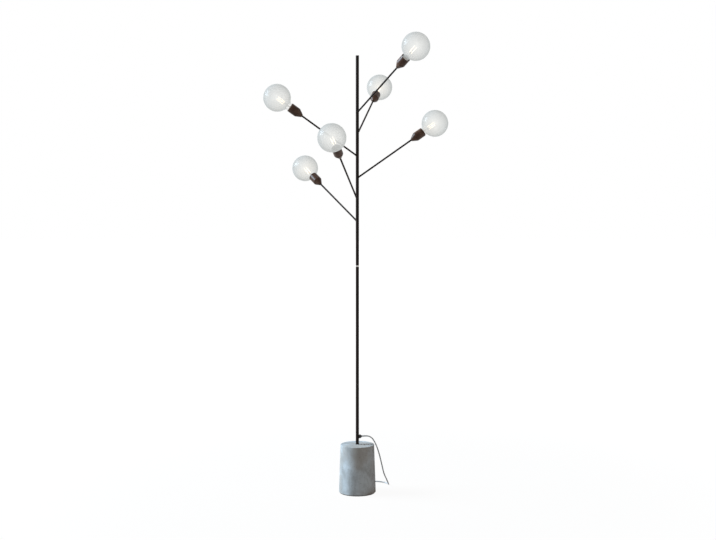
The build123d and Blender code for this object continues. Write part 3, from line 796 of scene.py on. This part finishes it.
class TREELAMP_OT_cords(bpy.types.Operator):
    """Lay the cord from the gland to the foot switch, and on through its tied coil to the plug"""

    bl_idname = "tree_lamp.cords"
    bl_label = "Cord"

    def execute(self, context):
        sizes = context.scene.tree_lamp.cord
        lead = flex("lead_flex", LEAD_ROUTE, sizes.diameter)
        coated(lead, flex_sheath("lead_sheath", sizes, LEAD_LENGTH))
        route = RUN_ROUTE + coil_route(sizes.coil_points) + TAIL_ROUTE
        coil = flex("coil_flex", route, sizes.diameter)
        coated(coil, flex_sheath("coil_sheath", sizes, COIL_LENGTH))
        black = moulded("black_moulding", (0.012, 0.012, 0.013), 0.42)
        clear = moulded("pale_moulding", (0.66, 0.66, 0.65), 0.35)
        boots = {
            "gland_boot": (lead, True, 0.034, 0.0084, 0.0066, 6, clear, "grey_flex"),
            "switch_boot_right": (lead, False, 0.024, 0.0096, 0.0068, 5, black, "black_plastic"),
            "switch_boot_left": (coil, True, 0.024, 0.0096, 0.0068, 5, black, "black_plastic"),
            "plug_boot": (coil, False, 0.026, 0.0088, 0.0068, 6, black, "black_plastic"),
        }
        back, front, bore, corner = 0.0070, 0.0176, 0.0060, 0.0089
        rim = [(0.0086, back), (corner, 0.0075), (corner, 0.0166), (0.0082, front)]
        nut = turned("gland_nut", [(bore, back), *rim, (bore, front), (bore, back)], 6, smooth=20)
        outward = Matrix.Rotation(GLAND_TURN, 4, "Z") @ Matrix.Rotation(math.pi / 2, 4, "Y")
        placed(nut, Matrix.Translation((0, 0, GLAND_HEIGHT)) @ outward)
        added_to(coated(nut, black), "cord_gland")
        for name, (cord, from_start, length, wide, narrow, ribs, finish, slot) in boots.items():
            boot = tapered_boot(name, cord, from_start, length, wide, narrow, ribs)
            added_to(coated(boot, finish), "cord_gland")
        stands_for(lead, "grey_flex", "cord_lead")
        stands_for(coil, "grey_flex", "cord_run", "cord_coil", "cord_tail")
        dressed(black, "switch_base", "switch_cover", "cord_tie", "plug_body", "cord_gland")
        return {"FINISHED"}


class TREELAMP_OT_concrete(bpy.types.Operator):
    """Cast the concrete block, with its low hollows, its pinholes and its worn upper edge"""

    bl_idname = "tree_lamp.concrete"
    bl_label = "Concrete block"

    def execute(self, context):
        sizes = context.scene.tree_lamp.concrete
        low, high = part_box("concrete_base")
        pad_top, top, foot_radius = low.z, high.z, high.x
        top_radius, seat, stud, recess = 0.0785, 0.0079, 0.0041, 0.0200
        seat_floor, recess_top, foot_edge = top - 0.025, 0.020, 0.0015
        rows, rings, around = 150, 26, 288
        near_pole = 0.012
        ends = ((foot_radius, pad_top + foot_edge), (top_radius, top - sizes.edge))
        wall = [tuple(a + (b - a) * k / rows for a, b in zip(*ends)) for k in range(rows + 1)]
        brow = arc((top_radius - sizes.edge, top - sizes.edge), sizes.edge, 0, 90, 5)[1:]
        inward = seat - brow[-1][0]
        flat = [(brow[-1][0] + inward * k / rings, top) for k in range(1, rings + 1)]
        outline = [(stud, recess_top), (recess, recess_top), (recess, pad_top)]
        outline += [(foot_radius - foot_edge, pad_top), *wall, *brow, *flat]
        outline += [(seat, seat_floor), (stud, seat_floor), (stud, recess_top)]
        block = turned("concrete_block", outline, around, smooth=50)

        cast = block.vertex_groups.new(name="cast")
        sides = [
            v.index
            for v in block.data.vertices
            if v.co.z > pad_top + foot_edge and math.hypot(v.co.x, v.co.y) > near_pole
        ]
        cast.add(sides, 1.0, "REPLACE")
        hollows = bpy.data.textures.new("hollows", "CLOUDS")
        hollows.noise_scale = 0.035
        hollows.noise_depth = 4
        pinholes = bpy.data.textures.new("pinholes", "VORONOI")
        pinholes.noise_scale = 0.017
        pinholes.use_color_ramp = True
        stops = pinholes.color_ramp.elements
        stops[0].position, stops[0].color = 0.05, (1, 1, 1, 1)
        stops[1].position, stops[1].color = 0.17, (0, 0, 0, 1)
        alone(block)
        depths = ((hollows, 1.0, sizes.relief), (pinholes, 0.0, -sizes.pit_depth))
        for texture, level, strength in depths:
            modifier = block.modifiers.new(texture.name, "DISPLACE")
            modifier.texture = texture
            modifier.texture_coords = "LOCAL"
            modifier.mid_level = level
            modifier.strength = strength
            modifier.vertex_group = "cast"
            bpy.ops.object.modifier_apply(modifier=modifier.name)
        coated(block, cast_concrete(sizes))
        stands_for(block, "concrete", "concrete_base")
        dressed(moulded("pad_rubber", (0.035, 0.035, 0.035), 0.7, 900, 0.0001), "base_pad")
        return {"FINISHED"}


def weld_path(arm, arm_radius, pole_radius, points):
    """Points on the line where an arm's tube meets the pole's."""
    place = arm_matrix(arm)
    outward = place.col[2].to_3d()
    level = place.col[0].to_3d()
    upward = place.col[1].to_3d()
    tip = place.translation
    root = tip - outward * (tip.to_2d().length / outward.to_2d().length)
    found = []
    for k in range(points):
        turn = FULL_TURN * k / points
        start = root + (level * math.cos(turn) + upward * math.sin(turn)) * arm_radius
        flat, run = start.to_2d(), outward.to_2d()
        a, b, c = run.dot(run), 2 * flat.dot(run), flat.dot(flat) - pole_radius**2
        found.append(start + outward * ((-b + math.sqrt(b * b - 4 * a * c)) / (2 * a)))
    return found


class TREELAMP_OT_metalwork(bpy.types.Operator):
    """Powder coat the pole and arms, lay the weld beads, and finish the ring and fasteners"""

    bl_idname = "tree_lamp.metalwork"
    bl_label = "Pole and arms"

    def execute(self, context):
        sizes = context.scene.tree_lamp.metal
        coat = powder_coat(sizes)
        dressed(coat, "lower_pole", "upper_pole", "pole_top_plug", *[f"arm_{k}" for k in ARMS])
        dressed(turned_metal("bare_ring", sizes.bare, 0.30, 2600), "pole_joint")
        zinc = turned_metal("zinc_plate", (0.60, 0.60, 0.57), 0.34, 1500)
        dressed(zinc, "base_stud", "base_washer", "base_nut", "pole_foot_insert", "holder_nuts")
        dressed(moulded("inner_lead", (0.30, 0.30, 0.30), 0.5), "lead_harness")
        arm_radius, pole_radius = 0.004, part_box("upper_pole")[1].x
        points, ripples, ripple = 96, 14, 0.10
        swell = [1 + ripple * math.sin(k * FULL_TURN * ripples / points) for k in range(points)]
        for arm in ARMS:
            path = weld_path(arm, arm_radius, pole_radius, points)
            bead = tube(f"weld_{arm}", path, swell, sizes.weld, 3, closed=True)
            bpy.ops.object.shade_smooth()
            added_to(coated(bead, coat), f"arm_{arm}")
        return {"FINISHED"}


class TREELAMP_OT_holders(bpy.types.Operator):
    """Enamel the lampholders, roll their rims, and finish their sockets and contacts"""

    bl_idname = "tree_lamp.holders"
    bl_label = "Lampholders"

    def execute(self, context):
        enamel = brown_enamel(context.scene.tree_lamp.metal)
        socket = moulded("socket_moulding", (0.030, 0.024, 0.020), 0.45)
        brass = turned_metal("contact_brass", (0.72, 0.50, 0.22), 0.26, 1800)
        rim, radius, lip = 0.0405, 0.0210, 0.0007
        round_lip = arc((radius - lip, rim - lip * 0.4), lip, 0, 360, 14)
        lips = coated(turned("rolled_rim", round_lip, 96, smooth=60), enamel)
        for arm in ARMS:
            dressed(enamel, f"holder_{arm}_cover")
            dressed(socket, f"holder_{arm}_socket")
            added_to(seated(lips, "rolled_rim", arm), f"holder_{arm}_cover")
        bpy.data.objects.remove(lips)
        dressed(brass, "socket_contacts", "plug_pins")
        return {"FINISHED"}


# A bulb's own sizes, from its tip: the model's globe and neck with the sweep between them, the
# narrow end of the glass in the cap, the stem with its flare, and the two hubs that hold the
# filaments. The rods' radii come last.
GLOBE_CENTRE, GLOBE_RADIUS, NECK_RADIUS, SWEEP = 0.1125, 0.06249, 0.0145, 0.024
CAP_RIM, GLASS_END, NARROW = 0.0265, 0.0145, 0.0113
STEM_FLOOR, STEM_RADIUS, FLARE, FLARE_RADIUS = 0.009, 0.003, 0.013, 0.0102
HUB_LOW, HUB_HIGH, HUB_CIRCLE, HUB_RADIUS = 0.0725, 0.1105, 0.0075, 0.0090
FILAMENT_ROD, HUB_ROD, SUPPORT_ROD = 0.001, 0.00045, 0.0005


def glass_outline(wall):
    """The globe, its neck and the narrow end in the cap, outside and then inside."""
    sweep_radius = NECK_RADIUS + SWEEP
    back = math.sqrt((GLOBE_RADIUS + SWEEP) ** 2 - sweep_radius**2)
    meet = math.degrees(math.atan2(back, sweep_radius))
    centre, sweep = (0, GLOBE_CENTRE), (sweep_radius, GLOBE_CENTRE - back)
    slope = CAP_RIM + NECK_RADIUS - NARROW
    outer = arc(centre, GLOBE_RADIUS, 90, -meet, 56)
    outer += arc(sweep, SWEEP, 180 - meet, 180, 12)[1:]
    outer += [(NECK_RADIUS, slope), (NARROW, CAP_RIM), (NARROW, GLASS_END)]
    inner = [(NARROW - wall, GLASS_END), (NARROW - wall, CAP_RIM), (NECK_RADIUS - wall, slope)]
    inner += arc(sweep, SWEEP + wall, 180, 180 - meet, 12)
    inner += arc(centre, GLOBE_RADIUS - wall, -meet, 90, 56)[1:]
    return outer + inner


def stem_outline():
    """The glass stem: its foot in the cap, its flare, and the thin rod that carries the hubs."""
    taper = [(0.0060, 0.006), (0.0036, 0.012), (0.0026, 0.020), (0.0019, 0.028), (0.0015, 0.034)]
    return [
        (0, STEM_FLOOR),
        (STEM_RADIUS, STEM_FLOOR),
        (STEM_RADIUS, FLARE),
        (FLARE_RADIUS, FLARE),
        (FLARE_RADIUS, FLARE + 0.0012),
        *[(radius, FLARE + height) for radius, height in taper],
        (0.0015, HUB_HIGH - 0.0005),
        (0, HUB_HIGH + 0.0002),
    ]


def rod_between(start, end, radius):
    """A round rod from one point to another, capped at both ends."""
    alone()
    run = Vector(end) - Vector(start)
    bpy.ops.mesh.primitive_cylinder_add(vertices=10, radius=radius, depth=run.length)
    rod = bpy.context.object
    turn = run.to_track_quat("Z", "Y").to_matrix().to_4x4()
    return placed(rod, Matrix.Translation((Vector(start) + Vector(end)) / 2) @ turn)


def joined(name, pieces):
    """Several pieces made into one, under one name."""
    alone()
    for piece in pieces:
        piece.select_set(True)
    bpy.context.view_layer.objects.active = pieces[0]
    bpy.ops.object.join()
    whole = bpy.context.object
    whole.name = name
    whole.data.name = name
    bpy.ops.object.shade_smooth_by_angle(angle=math.radians(40))
    return whole


class TREELAMP_OT_bulbs(bpy.types.Operator):
    """Blow the six clear globes and set their stems, wires and lit filaments"""

    bl_idname = "tree_lamp.bulbs"
    bl_label = "Bulbs"

    def execute(self, context):
        sizes = context.scene.tree_lamp.bulbs
        glass, light, stem = globe_glass(sizes), lit_filament(sizes), stem_glass()
        wire = turned_metal("support_wire", (0.50, 0.47, 0.43), 0.28, 2400)
        cap = turned_metal("cap_nickel", (0.66, 0.63, 0.57), 0.28, 1800)

        shell = coated(turned("bulb_glass", glass_outline(sizes.glass), 96, smooth=50), glass)
        note_height(shell)

        quarters = [FULL_TURN * k / 4 for k in range(4)]
        corners = [(HUB_CIRCLE * math.cos(a), HUB_CIRCLE * math.sin(a)) for a in quarters]
        low, high = HUB_LOW + 0.001, HUB_HIGH - 0.001
        rods = [rod_between((x, y, low), (x, y, high), FILAMENT_ROD) for x, y in corners]
        lights = coated(joined("bulb_light", rods), light)

        glass_stem = coated(turned("bulb_stem", stem_outline(), 32), stem)

        rods = []
        reach = HUB_RADIUS / HUB_CIRCLE * 0.9
        for x, y in corners:
            for level in (HUB_LOW, HUB_HIGH):
                rods.append(rod_between((0, 0, level), (x * reach, y * reach, level), HUB_ROD))
        for side in (-1, 1):
            foot = (side * 0.0030, 0, FLARE + 0.014)
            knee = (side * 0.0058, 0, FLARE + 0.034)
            hub = (side * HUB_CIRCLE, 0, HUB_LOW)
            rods.append(rod_between(foot, knee, SUPPORT_ROD))
            rods.append(rod_between(knee, hub, SUPPORT_ROD))
        wires = coated(joined("bulb_wires", rods), wire)

        for arm in ARMS:
            globe, filament = f"bulb_{arm}_globe", f"bulb_{arm}_filament"
            stands_for(seated(shell, "globe", arm), "clear_glass", globe)
            stands_for(seated(glass_stem, "stem", arm), "clear_glass", filament)
            added_to(seated(wires, "wires", arm), filament)
            added_to(seated(lights, "filaments", arm), filament)
            dressed(cap, f"bulb_{arm}_cap")
        for made in (shell, lights, glass_stem, wires):
            bpy.data.objects.remove(made)
        return {"FINISHED"}


class TREELAMP_OT_switch(bpy.types.Operator):
    """Finish the foot switch's button, with its raised grip rings"""

    bl_idname = "tree_lamp.switch"
    bl_label = "Foot switch"

    def execute(self, context):
        button = moulded("button_moulding", (0.020, 0.020, 0.021), 0.28, 1300, 0.00003, 0.5)
        dressed(button, "switch_button")
        low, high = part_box("switch_button")
        middle = (low + high) / 2
        thick, sunk = 0.0005, 0.0003
        rings = []
        for radius in (0.0035, 0.0060, 0.0085):
            ring = arc((radius, high.z - sunk), thick, 0, 360, 10)
            rings.append(turned("button_ring", ring, 64, smooth=60))
        grip = placed(joined("button_grip", rings), Matrix.Translation((middle.x, middle.y, 0)))
        added_to(coated(grip, button), "switch_button")
        return {"FINISHED"}


class TREELAMP_OT_stage(bpy.types.Operator):
    """Lay the pale floor and set the plain studio light"""

    bl_idname = "tree_lamp.stage"
    bl_label = "Stage"

    def execute(self, context):
        sizes = context.scene.tree_lamp.stage
        alone()
        bpy.ops.mesh.primitive_plane_add(size=120)
        floor = coated(context.object, stage_white(sizes))
        floor.name = "floor"
        aimed_at = Vector((0, 0, 0.95))
        lamps = {
            "key_light": ((-7.4, 0.8, 5.3), (5.0, 4.0), sizes.key, (0.75, 0.96, 1.15)),
            "fill_light": ((3.8, -2.2, 1.8), (2.0, 2.6), sizes.fill, (1.0, 0.88, 0.76)),
        }
        for name, (place, (wide, tall), power, tint) in lamps.items():
            bpy.ops.object.light_add(type="AREA", location=place)
            lamp = context.object
            lamp.name = name
            lamp.data.shape = "RECTANGLE"
            lamp.data.size, lamp.data.size_y = wide, tall
            lamp.data.energy, lamp.data.color = power, tint
            aim = aimed_at - Vector(place)
            lamp.rotation_euler = aim.to_track_quat("-Z", "Y").to_euler()
            lamp.visible_camera = False
        context.scene.world = studio_world(sizes)
        context.scene.view_settings.view_transform = "Standard"
        return {"FINISHED"}


class TreeLampSizes(bpy.types.PropertyGroup):
    camera: PointerProperty(type=CameraSizes)
    stage: PointerProperty(type=StageSizes)
    concrete: PointerProperty(type=ConcreteSizes)
    metal: PointerProperty(type=MetalSizes)
    bulbs: PointerProperty(type=BulbSizes)
    cord: PointerProperty(type=CordSizes)


OPERATORS = (
    TREELAMP_OT_camera,
    TREELAMP_OT_cords,
    TREELAMP_OT_concrete,
    TREELAMP_OT_metalwork,
    TREELAMP_OT_holders,
    TREELAMP_OT_bulbs,
    TREELAMP_OT_switch,
    TREELAMP_OT_stage,
)


class TREELAMP_PT_panel(bpy.types.Panel):
    """The lamp's sizes and the steps that build it"""

    bl_idname = "TREELAMP_PT_panel"
    bl_label = "Tree floor lamp"
    bl_space_type = "VIEW_3D"
    bl_region_type = "UI"
    bl_category = "Tree lamp"

    def draw(self, context):
        for operator in OPERATORS:
            self.layout.operator(operator.bl_idname)
        for group_name in TreeLampSizes.__annotations__:
            box = self.layout.box()
            box.label(text=group_name.capitalize())
            group = getattr(context.scene.tree_lamp, group_name)
            for size_name in type(group).__annotations__:
                box.prop(group, size_name)


CLASSES = (
    CameraSizes,
    StageSizes,
    ConcreteSizes,
    MetalSizes,
    BulbSizes,
    CordSizes,
    TreeLampSizes,
    *OPERATORS,
    TREELAMP_PT_panel,
)


def register():
    for each in CLASSES:
        bpy.utils.register_class(each)
    bpy.types.Scene.tree_lamp = PointerProperty(type=TreeLampSizes)


def unregister():
    del bpy.types.Scene.tree_lamp
    for each in reversed(CLASSES):
        bpy.utils.unregister_class(each)


def main():
    register()
    bpy.ops.tree_lamp.camera()
    bpy.ops.tree_lamp.cords()
    bpy.ops.tree_lamp.concrete()
    bpy.ops.tree_lamp.metalwork()
    bpy.ops.tree_lamp.holders()
    bpy.ops.tree_lamp.bulbs()
    bpy.ops.tree_lamp.switch()
    bpy.ops.tree_lamp.stage()


if __name__ == "__main__":
    main()
